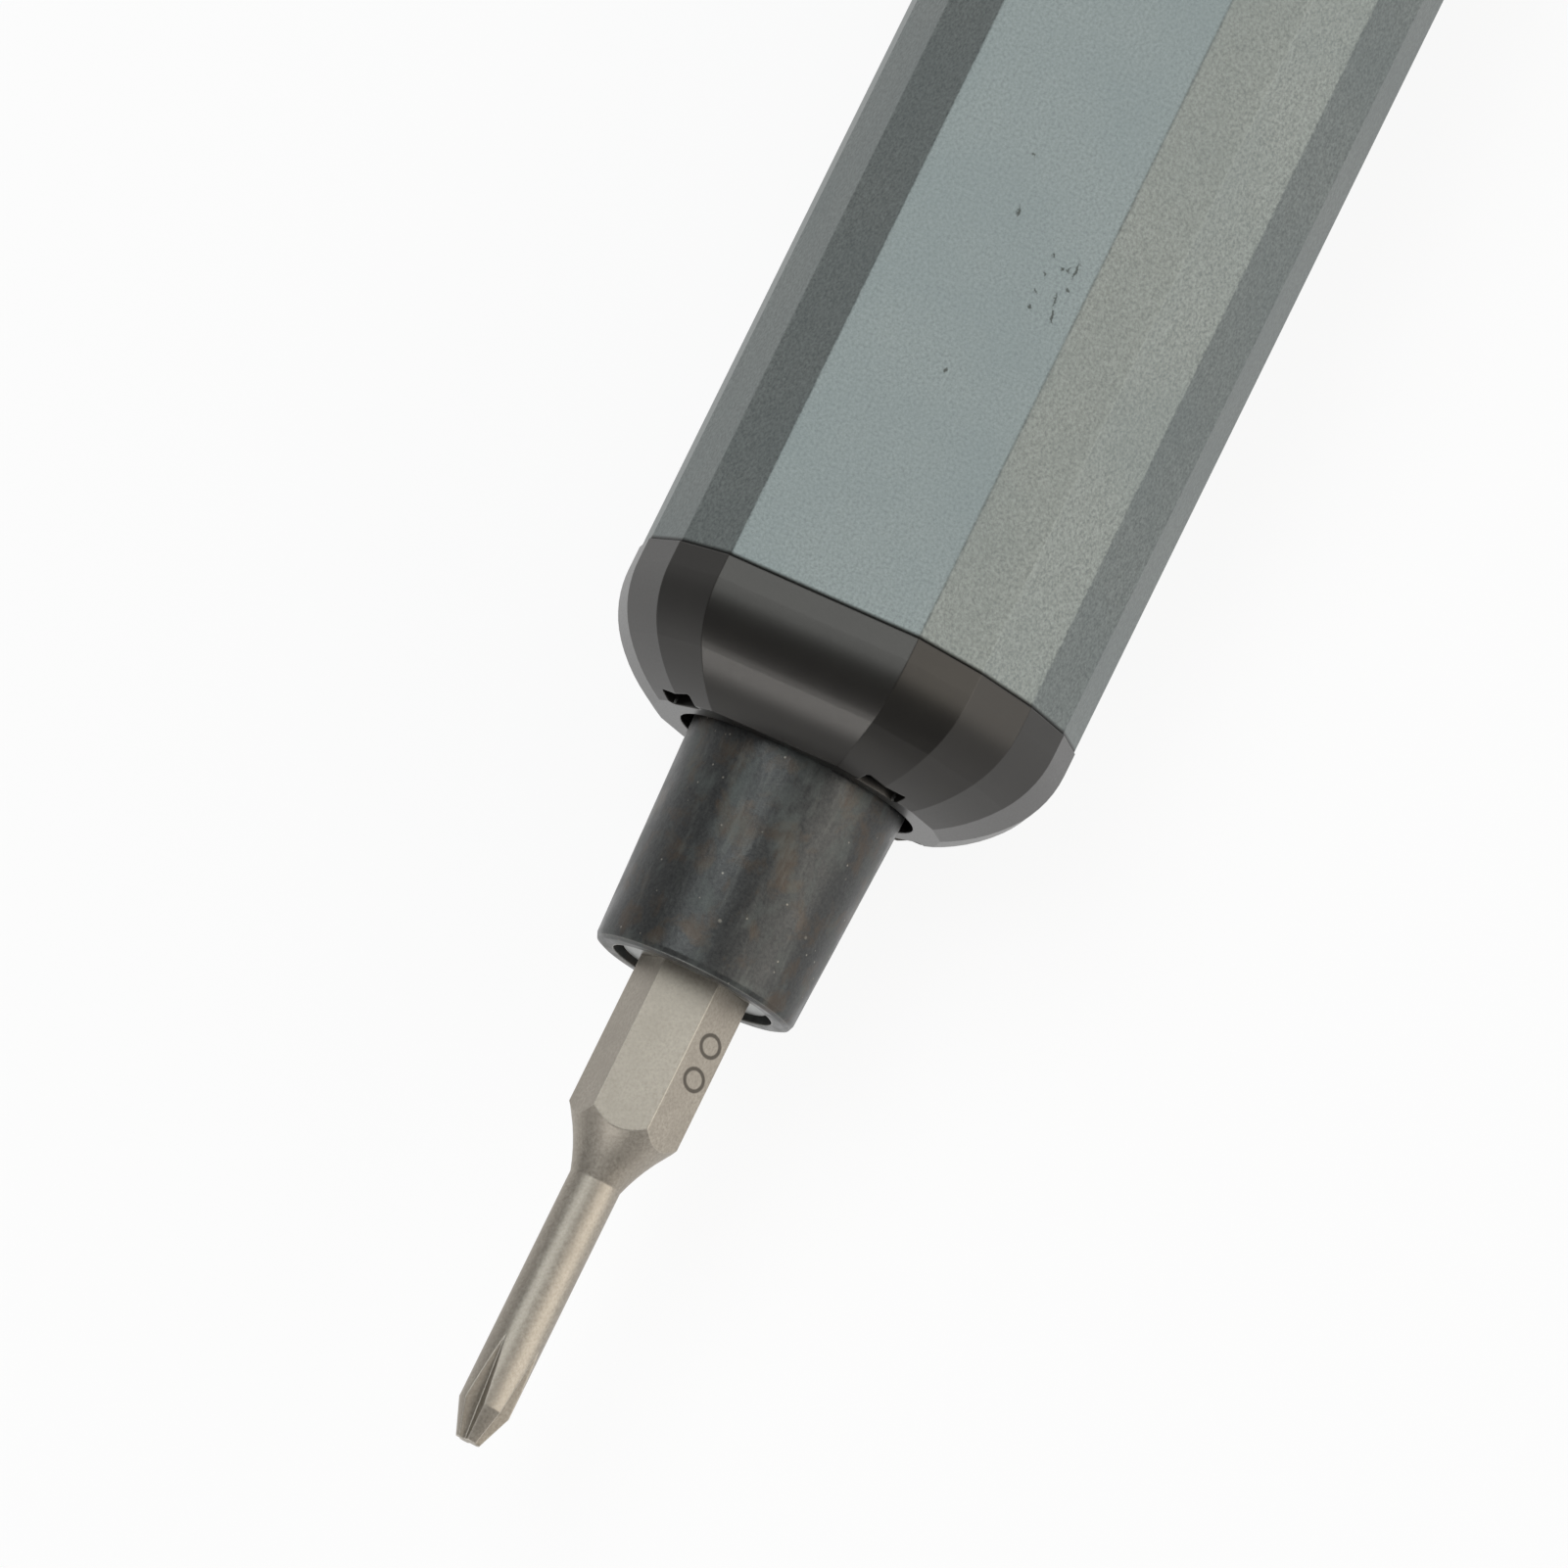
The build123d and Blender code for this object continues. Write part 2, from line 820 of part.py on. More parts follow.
# Motor can, drawn from sheet steel, with a boss for the front bush
with BuildPart() as motor_can:
    revolve(
        turned(
            [
                (end_cap_x, motor_radius),
                (motor_front_x, motor_radius),
                (motor_front_x, motor_boss_radius),
                (motor_front_x + motor_boss_height, motor_boss_radius),
                (motor_front_x + motor_boss_height, motor_shaft_radius + motor_bush_wall),
                (motor_front_x - motor_wall, motor_shaft_radius + motor_bush_wall),
                (motor_front_x - motor_wall, motor_radius - motor_wall),
                (end_cap_x, motor_radius - motor_wall),
            ]
        ),
        axis=axle,
    )
finish(motor_can, "motor_can")

with BuildPart() as motor_front_bush:
    extrude(
        disc(
            motor_front_x - motor_wall,
            motor_shaft_radius + motor_bush_wall,
            motor_shaft_radius + running_gap,
        ),
        amount=motor_wall + motor_boss_height,
    )
finish(motor_front_bush, "motor_front_bush")

# Two arc magnets inside the can, with a wedge of room between them on each side
wedge_reach = 2 * motor_radius
wedge_half_width = wedge_reach * tan(radians((180 - magnet_span) / 2))
with BuildPart() as motor_magnets:
    extrude(
        disc(rotor_rear_x, motor_radius - motor_wall, motor_radius - motor_wall - magnet_thickness),
        amount=rotor_length,
    )
    with BuildSketch(across(rotor_rear_x)):
        for side in (-1, 1):
            with BuildLine():
                Polyline(
                    (0, 0),
                    (side * wedge_reach, wedge_half_width),
                    (side * wedge_reach, -wedge_half_width),
                    close=True,
                )
            make_face()
    extrude(amount=rotor_length, mode=Mode.SUBTRACT)
finish(motor_magnets, "motor_magnets")

# Rotor: a three-pole iron core, a winding on each pole, the shaft and the commutator
with BuildPart() as rotor_core:
    with BuildSketch(across(rotor_rear_x)):
        Circle(rotor_radius)
        Circle(rotor_radius - rotor_shoe_thickness, mode=Mode.SUBTRACT)
        with PolarLocations(rotor_radius, rotor_slots, start_angle=180 / rotor_slots):
            Rectangle(4 * rotor_shoe_thickness, rotor_slot_opening, mode=Mode.SUBTRACT)
        Circle(rotor_hub_radius)
        with PolarLocations(rotor_radius / 2, rotor_slots):
            Rectangle(rotor_radius - rotor_shoe_thickness, rotor_tooth_width)
        Circle(motor_shaft_radius, mode=Mode.SUBTRACT)
    extrude(amount=rotor_length)
finish(rotor_core, "rotor_core")

winding_inner = rotor_hub_radius + winding_gap
winding_outer = rotor_radius - rotor_shoe_thickness - winding_gap
with BuildPart() as rotor_windings:
    with BuildSketch(across(rotor_rear_x - winding_bulge)):
        with PolarLocations((winding_inner + winding_outer) / 2, rotor_slots):
            Rectangle(winding_outer - winding_inner, rotor_tooth_width + 2 * winding_thickness)
        Circle(winding_outer, mode=Mode.INTERSECT)
    extrude(amount=rotor_length + 2 * winding_bulge)
    with BuildSketch(across(rotor_rear_x)):
        with PolarLocations(rotor_radius / 2, rotor_slots):
            Rectangle(2 * rotor_radius, rotor_tooth_width)
    extrude(amount=rotor_length, mode=Mode.SUBTRACT)
finish(rotor_windings, "rotor_windings")

with BuildPart() as commutator:
    extrude(
        disc(commutator_rear_x, commutator_radius, motor_shaft_radius),
        amount=rotor_rear_x - commutator_rear_x,
    )
finish(commutator, "commutator")

shaft_rear_x = motor_rear_x - motor_shaft_tail
with BuildPart() as motor_shaft:
    extrude(disc(shaft_rear_x, motor_shaft_radius), amount=first_gear_front_x - shaft_rear_x)
finish(motor_shaft, "motor_shaft")


def terminal_places():
    """One place for each of the motor's two terminals."""
    return Locations((-terminal_spacing / 2, 0), (terminal_spacing / 2, 0))


# Motor end cap, a plastic lid with the rear bearing
with BuildPart() as motor_end_cap:
    extrude(disc(motor_rear_x, motor_radius), amount=end_cap_thickness)
    extrude(disc(end_cap_x, motor_radius - motor_wall), amount=motor_wall)
    extrude(disc(motor_rear_x, end_cap_boss_radius), amount=-end_cap_boss_height)
    extrude(
        disc(motor_rear_x - end_cap_boss_height, motor_shaft_radius + running_gap),
        amount=end_cap_boss_height + end_cap_thickness + motor_wall,
        mode=Mode.SUBTRACT,
    )
    with BuildSketch(across(motor_rear_x)):
        with terminal_places():
            Rectangle(terminal_thickness, terminal_width)
    extrude(amount=end_cap_thickness + motor_wall, mode=Mode.SUBTRACT)
finish(motor_end_cap, "motor_end_cap")

with BuildPart() as motor_terminals:
    with BuildSketch(across(motor_rear_x - terminal_length)):
        with terminal_places():
            Rectangle(terminal_thickness, terminal_width)
    extrude(amount=terminal_length + end_cap_thickness + motor_wall)
finish(motor_terminals, "motor_terminals")

# Brushes: a spring arm from the end cap and a block beside the commutator
brush_gap = running_gap
with BuildPart() as motor_brushes:
    for side in (-1, 1):
        with BuildSketch(across(end_cap_x + motor_wall)):
            with Locations((side * (commutator_radius + brush_gap + brush_width / 2), 0)):
                Rectangle(brush_width, 2 * brush_width)
        extrude(amount=commutator_rear_x + commutator_length - end_cap_x - motor_wall)
finish(motor_brushes, "motor_brushes")

# Chassis: two plastic halves that fill the tube behind the gearbox and hold everything else.
# The tube's wall keeps them together.
board_bottom_z = axis_z + board_top_z - board_thickness
bay_middle_x = (bay_front_x + bay_rear_x) / 2


def cylinder_cut(front_x, rear_x, radius):
    """Cuts a round seat along the axis out of the piece being made."""
    extrude(disc(rear_x, radius), amount=front_x - rear_x, mode=Mode.SUBTRACT)


def box_cut(front_x, rear_x, half_width, low, high):
    """Cuts a rectangular room out of the piece being made, its heights counted from the axis."""
    with BuildSketch(across(rear_x)) as section:
        with Locations((0, (low + high) / 2)):
            Rectangle(2 * half_width, high - low)
    extrude(section.sketch, amount=front_x - rear_x, mode=Mode.SUBTRACT)


def chassis_cuts():
    """The seats of the motor, its terminals, the board and the cell."""
    cylinder_cut(motor_front_x, motor_rear_x - terminal_length, motor_radius + plug_fit)
    cylinder_cut(motor_rear_x - terminal_length, bay_front_x, wire_hole_radius)
    cylinder_cut(bay_rear_x, cell_front_x, cell_radius - cell_shoulder)
    cylinder_cut(cell_front_x, pad_x, cell_radius + cell_gap)
    cylinder_cut(pad_x, chassis_rear_x, wire_hole_radius)
    ledge_half_width = board_width / 2 - ledge_width
    box_cut(bay_front_x, bay_rear_x, ledge_half_width, bay_floor, board_top_z + switch_height)
    box_cut(bay_front_x, bay_rear_x, board_width / 2 + plug_fit, 0, board_top_z)


with BuildPart() as chassis_lower:
    extrude(body_section(chassis_rear_x, tube_wall + chassis_fit), amount=chassis_length)
    chassis_cuts()
    split(bisect_by=Plane.XY.offset(axis_z), keep=Keep.BOTTOM)
    # Two rails that carry the board's long edges
    with BuildSketch(across(bay_rear_x)):
        for side in (-1, 1):
            with Locations((side * (board_width - ledge_width) / 2, -ledge_root)):
                Rectangle(
                    ledge_width,
                    ledge_root + board_top_z - board_thickness,
                    align=(Align.CENTER, Align.MIN),
                )
    extrude(amount=bay_length)
finish(chassis_lower, "chassis_lower")

with BuildPart() as chassis_upper:
    extrude(body_section(chassis_rear_x, tube_wall + chassis_fit), amount=chassis_length)
    chassis_cuts()
    split(bisect_by=Plane.XY.offset(axis_z), keep=Keep.TOP)
    with BuildSketch(Plane.XY.offset(axis_z)):
        with Locations(*[(x, 0) for x in button_xs]):
            Rectangle(
                button_length + 2 * button_flange + 2 * button_gap,
                button_width + 2 * button_flange + 2 * button_gap,
            )
    extrude(amount=corner_radius, mode=Mode.SUBTRACT)
finish(chassis_upper, "chassis_upper")

# Main board with its chips, and the two switches under the buttons
with BuildPart() as main_board:
    with BuildSketch(Plane.XY.offset(board_bottom_z)):
        with Locations((bay_middle_x, 0)):
            Rectangle(board_length, board_width)
            for corner in (-1, 1):
                with Locations((corner * board_length / 2, board_width / 2)):
                    Circle(board_notch_radius, mode=Mode.SUBTRACT)
    extrude(amount=board_thickness)
finish(main_board, "main_board")

with BuildPart() as control_chips:
    with BuildSketch(Plane.XY.offset(board_bottom_z)):
        with Locations((bay_middle_x + chip_size, 0)):
            Rectangle(chip_size, chip_size)
        with Locations((bay_middle_x - chip_size, 0)):
            with GridLocations(0, chip_size, 1, 2):
                Rectangle(power_chip_length, power_chip_width)
    extrude(amount=-chip_height)
finish(control_chips, "control_chips")

switch_top_z = axis_z + board_top_z + switch_height
with BuildPart() as push_switches:
    with BuildSketch(Plane.XY.offset(axis_z + board_top_z)):
        with Locations(*[(x, 0) for x in button_xs]):
            Rectangle(switch_size, switch_size)
            Rectangle(
                plunger_size + 2 * running_gap,
                plunger_size + 2 * running_gap,
                mode=Mode.SUBTRACT,
            )
    extrude(amount=switch_height)
    with BuildSketch(Plane.XY.offset(axis_z + board_top_z)):
        with Locations(*[(x, 0) for x in button_xs]):
            Rectangle(switch_size, switch_size)
    extrude(amount=switch_height - button_travel - 2 * button_gap)
finish(push_switches, "push_switches")

button_names = ["forward", "reverse"]
flange_top_z = tube_inner_z - plug_fit
for x, word in zip(button_xs, button_names):
    with BuildPart() as plunger:
        with BuildSketch(Plane.XY.offset(switch_top_z - button_gap)):
            with Locations((x, 0)):
                Rectangle(plunger_size, plunger_size)
        extrude(amount=flange_top_z - button_flange_thickness - switch_top_z + button_gap)
    finish(plunger, f"{word}_plunger")

    # Button: a slot-shaped key with a dished top, and a flange that the tube's wall holds in
    with BuildPart() as button:
        with BuildSketch(Plane.XY.offset(flange_top_z - button_flange_thickness)):
            with Locations((x, 0)):
                SlotOverall(button_length + 2 * button_flange, button_width + 2 * button_flange)
        extrude(amount=button_flange_thickness)
        with BuildSketch(Plane.XY.offset(flange_top_z)):
            with Locations((x, 0)):
                SlotOverall(button_length, button_width)
        extrude(amount=flat_z + button_proud - flange_top_z)
        top = button.faces().sort_by(Axis.Z)[-1]
        chamfer(top.edges(), length=button_edge_chamfer)
        with BuildSketch(Plane.XZ.offset(-button_width)):
            with Locations((x, flat_z + button_proud - button_dish_depth + button_dish_radius)):
                Circle(button_dish_radius)
        extrude(amount=2 * button_width, mode=Mode.SUBTRACT)
    finish(button, f"{word}_button")

# Cell with its two welded tabs and a foam pad behind it
with BuildPart() as cell:
    extrude(disc(cell_rear_x, cell_radius), amount=cell_length)
    chamfer(cell.edges().filter_by(GeomType.CIRCLE), length=cell_edge_chamfer)
    extrude(disc(cell_front_x, cell_nub_radius), amount=cell_nub_height)
finish(cell, "cell")

with BuildPart() as cell_tabs:
    for rear_x in (cell_front_x + cell_nub_height, cell_rear_x - tab_thickness):
        with BuildSketch(across(rear_x)):
            with Locations((0, tab_width / 4)):
                Rectangle(tab_width, 1.5 * tab_width)
        extrude(amount=tab_thickness)
finish(cell_tabs, "cell_tabs")

with BuildPart() as cell_pad:
    with BuildSketch(across(pad_x)):
        Rectangle(pad_side, pad_side)
    extrude(amount=pad_thickness)
finish(cell_pad, "cell_pad")

# Charging port: a rounded steel shell round a tongue
def port_section(x, grow=0):
    """The port's outline, moved out by grow."""
    with BuildSketch(across(x)) as section:
        SlotOverall(port_width + 2 * grow, port_height + 2 * grow)
    return section.sketch


with BuildPart() as port_shell_piece:
    extrude(port_section(port_face_x), amount=port_depth)
    extrude(
        port_section(port_face_x, -port_shell),
        amount=port_depth - port_rear_wall,
        mode=Mode.SUBTRACT,
    )
finish(port_shell_piece, "charging_port")

with BuildPart() as port_tongue:
    with BuildSketch(across(port_rear_x - port_rear_wall)):
        Rectangle(tongue_width, tongue_thickness)
    extrude(amount=-tongue_length)
finish(port_tongue, "port_tongue")

with BuildPart() as charge_board:
    with BuildSketch(Plane.XY.offset(charge_board_top_z)):
        with Locations((charge_board_rear_x, 0)):
            Rectangle(charge_board_length, charge_board_width, align=(Align.MIN, Align.CENTER))
    extrude(amount=-charge_board_thickness)
finish(charge_board, "charge_board")

# Tail cap: the tube's facets carried over a shorter dome, with a spigot and the port's opening
tail_dome = faceted_dome(
    tail_seam_x, -1, tail_length, tail_face_radius, tail_shoulder_reach, tail_shoulder_radius
)
with BuildPart() as tail_cap:
    add(tail_dome)
    extrude(body_section(tail_seam_x, tube_wall + plug_fit), amount=tail_spigot_length)
    extrude(
        body_section(tail_face_x + tail_face_wall, tube_wall + plug_fit + tail_spigot_wall),
        amount=tail_length + tail_spigot_length,
        mode=Mode.SUBTRACT,
    )
    # Slotted ledges that carry the charging board's edges
    for side in (-1, 1):
        with BuildSketch(across(tail_face_x + tail_face_wall)):
            with Locations((side * charge_board_width / 2, charge_board_top_z - axis_z)):
                Rectangle(2 * ledge_width, 4 * charge_board_thickness)
        extrude(amount=tail_length - tail_face_wall + tail_spigot_length)
    with BuildSketch(Plane.XY.offset(charge_board_top_z)):
        with Locations((charge_board_rear_x, 0)):
            Rectangle(tail_length + tail_spigot_length, charge_board_width, align=(Align.MIN, Align.CENTER))
    extrude(amount=-charge_board_thickness, mode=Mode.SUBTRACT)
    extrude(
        port_section(tail_face_x, port_fit),
        amount=port_depth + port_recess,
        mode=Mode.SUBTRACT,
    )
finish(tail_cap, "tail_cap")
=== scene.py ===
import math

import bpy
from mathutils import Matrix, Vector

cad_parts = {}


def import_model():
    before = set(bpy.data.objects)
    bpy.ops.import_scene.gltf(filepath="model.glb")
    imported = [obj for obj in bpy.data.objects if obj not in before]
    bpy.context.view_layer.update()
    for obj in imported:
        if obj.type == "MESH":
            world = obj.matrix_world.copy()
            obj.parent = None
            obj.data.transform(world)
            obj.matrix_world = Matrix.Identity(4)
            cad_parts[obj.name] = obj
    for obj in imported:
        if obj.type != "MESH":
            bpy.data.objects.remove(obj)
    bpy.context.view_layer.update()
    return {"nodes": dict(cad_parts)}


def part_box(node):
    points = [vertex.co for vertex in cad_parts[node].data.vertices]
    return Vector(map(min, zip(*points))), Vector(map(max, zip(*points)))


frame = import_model()
nodes = frame["nodes"]

MM = 0.001

# The photograph's frame, and the camera that took it
photo_side = 1601
sensor_mm = 36.0
focal_px = 26399.0
camera_distance = 999 * MM
camera_azimuth = 147.70
camera_elevation = 73.32
axis_lean = 26.24
aim_ahead_of_nose_face = 0.57 * MM
aim_aside = -0.264 * MM

# Where the tool's own parts are
nose_face_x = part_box("nose_cap")[1].x
tube_end_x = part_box("body_tube")[1].x
axis_z = (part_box("chuck_sleeve")[0].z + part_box("chuck_sleeve")[1].z) / 2
top_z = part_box("body_tube")[1].z


def rgb(red, green, blue):
    """A colour written as it looks on a screen, turned into the renderer's own numbers."""
    values = []
    for part in (red, green, blue):
        share = part / 255
        values.append(share / 12.92 if share <= 0.04045 else ((share + 0.055) / 1.055) ** 2.4)
    return (*values, 1)


def set_camera():
    """Looks down at the nose, turned so that the tool leans as it does in the photograph."""
    azimuth = math.radians(camera_azimuth)
    elevation = math.radians(camera_elevation)
    back = Vector((
        math.sin(azimuth) * math.cos(elevation),
        -math.cos(azimuth) * math.cos(elevation),
        math.sin(elevation),
    ))
    to_tail = Vector((-1, 0, 0))
    tail_in_picture = (to_tail - back * to_tail.dot(back)).normalized()
    up = Matrix.Rotation(math.radians(axis_lean), 3, back) @ tail_in_picture
    right = up.cross(back)
    aim = Vector((nose_face_x + aim_ahead_of_nose_face, aim_aside, axis_z))
    turn = Matrix((right, up, back)).transposed()
    camera = bpy.data.cameras.new("camera")
    camera.sensor_width = sensor_mm
    camera.lens = focal_px * sensor_mm / photo_side
    camera.clip_start = 0.01
    camera.clip_end = 20
    holder = bpy.data.objects.new("camera", camera)
    holder.matrix_world = Matrix.Translation(aim + back * camera_distance) @ turn.to_4x4()
    bpy.context.scene.collection.objects.link(holder)
    bpy.context.scene.camera = holder


class Tree:
    """A material's node tree, with short calls for the nodes that the finishes share."""

    def __init__(self, name):
        self.material = bpy.data.materials.new(name)
        self.material.use_nodes = True
        self.nodes = self.material.node_tree.nodes
        self.links = self.material.node_tree.links
        self.nodes.clear()
        self.output = self.nodes.new("ShaderNodeOutputMaterial")
        self.shader = self.nodes.new("ShaderNodeBsdfPrincipled")
        self.links.new(self.shader.outputs["BSDF"], self.output.inputs["Surface"])
        self.place = self.nodes.new("ShaderNodeTexCoord").outputs["Object"]

    def node(self, kind, inputs=None, **settings):
        """A new node; each input is a number, a colour, or another node's output."""
        made = self.nodes.new(kind)
        for key, value in settings.items():
            setattr(made, key, value)
        for key, value in (inputs or {}).items():
            self.put(made.inputs[key], value)
        return made

    def put(self, socket, value):
        if isinstance(value, bpy.types.NodeSocket):
            self.links.new(value, socket)
        else:
            socket.default_value = value

    def shade(self, **values):
        """Sets the shader's sockets, such as base_color or roughness."""
        for key, value in values.items():
            self.put(self.shader.inputs[key.replace("_", " ").title().replace("Ior", "IOR")], value)

    def math(self, operation, a, b=0.0):
        return self.node("ShaderNodeMath", {0: a, 1: b}, operation=operation).outputs[0]

    def vector(self, operation, a, b):
        return self.node("ShaderNodeVectorMath", {0: a, 1: b}, operation=operation).outputs[0]

    def stretched(self, along):
        """Object coordinates, drawn out along the tool's axis."""
        return self.vector("MULTIPLY", self.place, (1 / along, 1, 1))

    def noise(self, size, detail=2.0, roughness=0.5, place=None, distortion=0.0):
        """Cloudy noise from 0 to 1, its blobs about size millimetres wide."""
        made = self.node(
            "ShaderNodeTexNoise",
            {
                "Vector": place or self.place,
                "Scale": 1 / (size * MM),
                "Detail": detail,
                "Roughness": roughness,
                "Distortion": distortion,
            },
        )
        return made.outputs["Fac"]

    def span(self, value, low, high, out_low=0.0, out_high=1.0):
        """Value from low to high, made to run from out_low to out_high."""
        made = self.node(
            "ShaderNodeMapRange",
            {"Value": value, "From Min": low, "From Max": high, "To Min": out_low, "To Max": out_high},
            interpolation_type="LINEAR",
        )
        return made.outputs["Result"]

    def mix(self, share, a, b):
        """Colour a where share is 0, colour b where it is 1."""
        made = self.node("ShaderNodeMix", data_type="RGBA")
        self.put(made.inputs[0], share)
        self.put(made.inputs[6], a)
        self.put(made.inputs[7], b)
        return made.outputs[2]

    def specks(self, cell, radius, share):
        """Scattered round specks: one in some cells, cell and radius in millimetres."""
        inputs = {"Vector": self.place, "Scale": 1 / (cell * MM)}
        cells = self.node("ShaderNodeTexVoronoi", inputs)
        near = self.span(cells.outputs["Distance"], radius / cell, 0.4 * radius / cell, 0, 1)
        lucky = self.node("ShaderNodeSeparateColor", {"Color": cells.outputs["Color"]}).outputs[0]
        chosen = self.math("LESS_THAN", lucky, share)
        return self.math("MULTIPLY", near, chosen)

    def rounded(self, radius):
        """The surface's normal with its edges rounded over, radius in millimetres."""
        return self.node("ShaderNodeBevel", {"Radius": radius * MM}, samples=8).outputs["Normal"]

    def edges(self, radius):
        """1 on the edges and corners, 0 on open faces."""
        least_turn = 0.01
        full_turn = 0.12
        true = self.node("ShaderNodeNewGeometry").outputs["Normal"]
        inputs = {0: self.rounded(radius), 1: true}
        turn = self.node("ShaderNodeVectorMath", inputs, operation="DOT_PRODUCT")
        return self.span(self.math("SUBTRACT", 1.0, turn.outputs["Value"]), least_turn, full_turn)

    def bump(self, height, depth, normal, strength):
        """A bumped normal; height is 0 to 1 and depth is in millimetres."""
        inputs = {
            "Height": height,
            "Distance": depth * MM,
            "Strength": strength,
            "Normal": normal,
        }
        return self.node("ShaderNodeBump", inputs).outputs["Normal"]


# Dark scuffs on the upper flat: place along and across in mm, half length in mm, turn in degrees
scuffs = [
    (29.20, 0.16, 0.24, 8),
    (30.46, 3.25, 0.38, -4),
    (30.52, 2.96, 0.12, -11),
    (30.59, 2.73, 0.07, 69),
    (30.26, 2.19, 0.06, 61),
    (31.03, 2.20, 0.09, 40),
    (31.80, 2.18, 0.06, 62),
    (32.46, 2.22, 0.06, 52),
    (31.82, 3.00, 0.32, 9),
    (32.44, 3.19, 0.33, 20),
    (36.06, 0.34, 0.11, 0),
    (26.94, -0.29, 0.07, 44),
    (31.28, 3.27, 0.10, 61),
]
scuff_half_width = 0.075
scuff_fade = 0.06
scuff_raggedness = 0.3
ragged_scale = 9000


def scuff_mask(tree):
    """Where the scuffs lie, their outlines broken up by noise."""
    inputs = {"Vector": tree.place, "Scale": ragged_scale, "Detail": 2}
    ragged = tree.node("ShaderNodeTexNoise", inputs).outputs["Color"]
    shift = tree.vector("SUBTRACT", ragged, (0.5, 0.5, 0.5))
    inputs = {0: shift, 3: scuff_raggedness * MM}
    shift = tree.node("ShaderNodeVectorMath", inputs, operation="SCALE").outputs[0]
    place = tree.vector("ADD", tree.place, shift)
    mask = 0.0
    for x, y, half_length, turn in scuffs:
        inside = tree.node(
            "ShaderNodeMapping",
            {
                "Vector": place,
                "Location": (x * MM, y * MM, top_z),
                "Rotation": (0, 0, math.radians(turn)),
                "Scale": ((half_length + scuff_fade) * MM, scuff_half_width * MM, 1 * MM),
            },
            vector_type="TEXTURE",
        )
        inputs = {"Vector": inside.outputs[0]}
        ball = tree.node("ShaderNodeTexGradient", inputs, gradient_type="SPHERICAL")
        mask = tree.math("MAXIMUM", mask, ball.outputs["Fac"])
    return tree.span(mask, 0.05, 0.45)


# The shadow line at the tube's end: where it starts and where it is full, in millimetres from the end
end_line_start = 0.20
end_line_full = 0.08


def anodised():
    """Bead-blasted anodised aluminium: a fine even grain, faint clouds, soft corners, a few scuffs,
    and a painted shadow line at the tube's end.
    """
    tree = Tree("anodised")
    grain = tree.noise(0.13, detail=2, roughness=0.6)
    cloud = tree.noise(5, detail=3)
    base = tree.mix(tree.span(grain, 0.3, 0.7), rgb(100, 105, 104), rgb(133, 139, 137))
    base = tree.mix(tree.span(cloud, 0.35, 0.65, 0, 0.25), base, rgb(104, 113, 114))
    dust = tree.specks(1.6, 0.035, 0.15)
    base = tree.mix(tree.math("MULTIPLY", dust, 0.5), base, rgb(205, 205, 200))
    pits = tree.specks(3.1, 0.05, 0.12)
    base = tree.mix(tree.math("MULTIPLY", pits, 0.6), base, rgb(50, 52, 50))
    base = tree.mix(tree.math("MULTIPLY", scuff_mask(tree), 0.75), base, rgb(44, 44, 38))
    # Painted shadow: a dark line over the last fraction of a millimetre of the tube, where it meets
    # the nose
    along = tree.node("ShaderNodeSeparateXYZ", {0: tree.place}).outputs[0]
    painted_end_shadow = tree.span(along, tube_end_x - end_line_start * MM, tube_end_x - end_line_full * MM)
    base = tree.mix(tree.math("MULTIPLY", painted_end_shadow, 0.9), base, rgb(30, 28, 26))
    tree.shade(
        base_color=base,
        metallic=1.0,
        roughness=tree.span(grain, 0.2, 0.8, 0.40, 0.52),
        normal=tree.bump(grain, 0.02, tree.rounded(0.16), 0.5),
    )
    return tree.material


def black_moulding():
    """Black moulded plastic with a fine satin texture and a little dust."""
    tree = Tree("black_moulding")
    grain = tree.noise(0.09, detail=2)
    cloud = tree.noise(1.8, detail=3)
    base = tree.mix(tree.span(cloud, 0.3, 0.7), rgb(13, 12, 11), rgb(19, 18, 16))
    dust = tree.specks(1.1, 0.03, 0.16)
    base = tree.mix(tree.math("MULTIPLY", dust, 0.6), base, rgb(170, 165, 158))
    tree.shade(
        base_color=base,
        roughness=tree.span(grain, 0.2, 0.8, 0.29, 0.36),
        specular_ior_level=0.5,
        specular_tint=(1, 0.96, 0.91, 1),
        normal=tree.bump(grain, 0.001, tree.rounded(0.08), 0.3),
    )
    return tree.material


